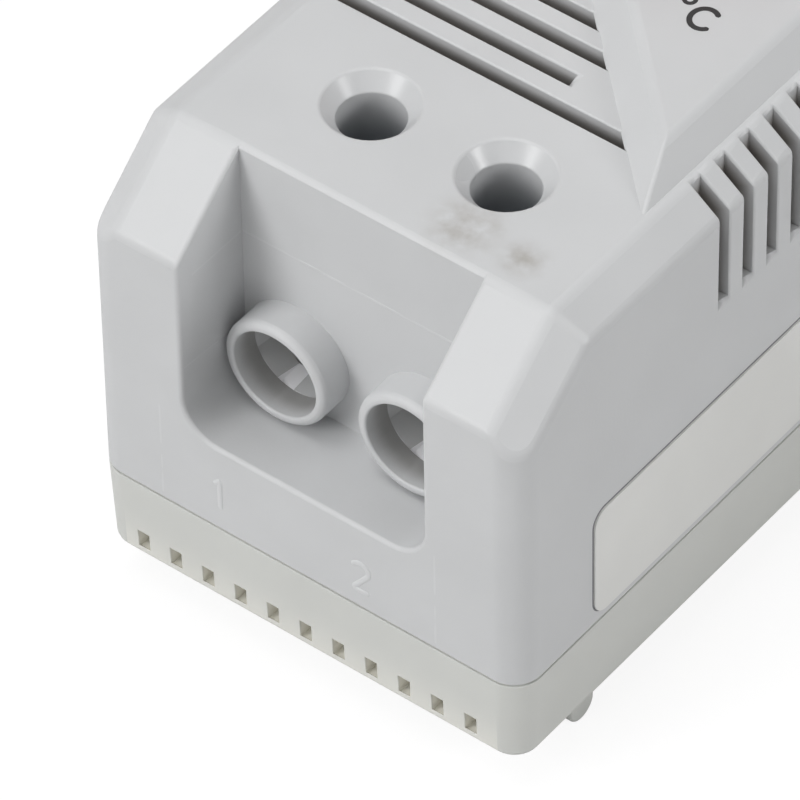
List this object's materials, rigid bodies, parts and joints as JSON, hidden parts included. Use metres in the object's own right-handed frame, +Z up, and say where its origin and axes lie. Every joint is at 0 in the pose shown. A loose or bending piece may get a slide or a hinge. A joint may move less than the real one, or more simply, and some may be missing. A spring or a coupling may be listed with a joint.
{
  "type": "thermostatic switch",
  "caption": "Small rail-mounted bimetal thermostat: a grey vented housing with wire sleeves and screw holes at one end and a setting dial on a raised platform.",
  "frame": {"origin": "Under the middle of the body, on the plane of the lowest point of the rail clip.", "axes": "+X across the body to the right-hand side, where the label is; +Y along the body away from the terminal end; +Z up from the mounting rail."},
  "size_m": [0.0332, 0.06, 0.043],
  "materials": {
    "cover_grey": "fine matt grain, light grey",
    "base_grey": "fine matt grain, light grey, slightly warmer than the cover",
    "label_foil": "smooth satin foil, blank",
    "knob_red": "satin",
    "pointer_white": "satin",
    "carrier_white": "matt",
    "zinc_steel": "bright zinc",
    "brass": "plain",
    "silver": "bright silver",
    "bimetal": "rolled",
    "magnet_alloy": "ground"
  },
  "bodies": {
    "housing": {"housing_cover": "cover_grey", "base_plate": "base_grey", "rating_label": "label_foil", "spindle_bush": "brass", "bridge_bracket": "zinc_steel", "bridge_screws": "zinc_steel", "lever_pin": "zinc_steel", "pivot_bracket": "zinc_steel", "bracket_screw": "zinc_steel", "lever_spring": "zinc_steel", "snap_magnet": "magnet_alloy", "magnet_yoke": "zinc_steel", "fixed_contact": "silver", "terminal_bar_1": "brass", "terminal_bar_2": "brass", "terminal_carrier": "carrier_white", "latch_spring": "zinc_steel"},
    "knob": {"setting_knob": "knob_red", "knob_pointer": "pointer_white", "knob_ring": "zinc_steel"},
    "spindle": {"setting_spindle": "brass"},
    "lever": {"setting_lever": "zinc_steel", "calibration_screw": "brass", "bimetal_rivets": "brass"},
    "bimetal": {"bimetal_strip": "bimetal", "moving_contact": "silver", "armature_plate": "magnet_alloy"},
    "clamp_1": {"clamp_cage_1": "zinc_steel"},
    "clamp_2": {"clamp_cage_2": "zinc_steel"},
    "screw_1": {"terminal_screw_1": "zinc_steel"},
    "screw_2": {"terminal_screw_2": "zinc_steel"},
    "latch": {"din_latch": "base_grey"}
  },
  "joints": [
    {"name": "knob_turn", "type": "hinge", "parent": "housing", "child": "knob", "pos_m": [0, 0.01135, 0.0381], "axis": [0, 0, 1], "range_deg": [-135, 135]},
    {"name": "spindle_travel", "type": "slide", "parent": "knob", "child": "spindle", "axis": [0, 0, 1], "range_m": [-0.0001875, 0.0001875]},
    {"name": "lever_tilt", "type": "hinge", "parent": "housing", "child": "lever", "pos_m": [0, 0.0215, 0.0158], "axis": [1, 0, 0], "range_deg": [-1.1, 1.1], "deforming": ["lever_spring"]},
    {"name": "bimetal_flex", "type": "hinge", "parent": "lever", "child": "bimetal", "pos_m": [0, 0.017, 0.0136], "axis": [1, 0, 0], "range_deg": [0, 1], "stiffness_Nm_per_rad": 0.05, "springref_deg": -1.15},
    {"name": "terminal_screw_1_turn", "type": "hinge", "parent": "housing", "child": "screw_1", "pos_m": [-0.0051, -0.0162, 0.0271], "axis": [0, 0, 1], "range_deg": [0, 1152]},
    {"name": "terminal_screw_2_turn", "type": "hinge", "parent": "housing", "child": "screw_2", "pos_m": [0.0051, -0.0162, 0.0271], "axis": [0, 0, 1], "range_deg": [0, 1152]},
    {"name": "clamp_1_travel", "type": "slide", "parent": "housing", "child": "clamp_1", "axis": [0, 0, 1], "range_m": [0, 0.0016]},
    {"name": "clamp_2_travel", "type": "slide", "parent": "housing", "child": "clamp_2", "axis": [0, 0, 1], "range_m": [0, 0.0016]},
    {"name": "latch_slide", "type": "slide", "parent": "housing", "child": "latch", "axis": [0, -1, 0], "range_m": [0, 0.0025], "stiffness_N_per_m": 400, "springref_m": -0.001, "deforming": ["latch_spring"]}
  ],
  "couplings": [
    {"joint": "knob_turn", "follows": "spindle_travel", "rad_per_m": 12566},
    {"joint": "lever_tilt", "follows": "spindle_travel", "rad_per_m": -98.52},
    {"joint": "terminal_screw_1_turn", "follows": "clamp_1_travel", "rad_per_m": 12566},
    {"joint": "terminal_screw_2_turn", "follows": "clamp_2_travel", "rad_per_m": 12566}
  ]
}
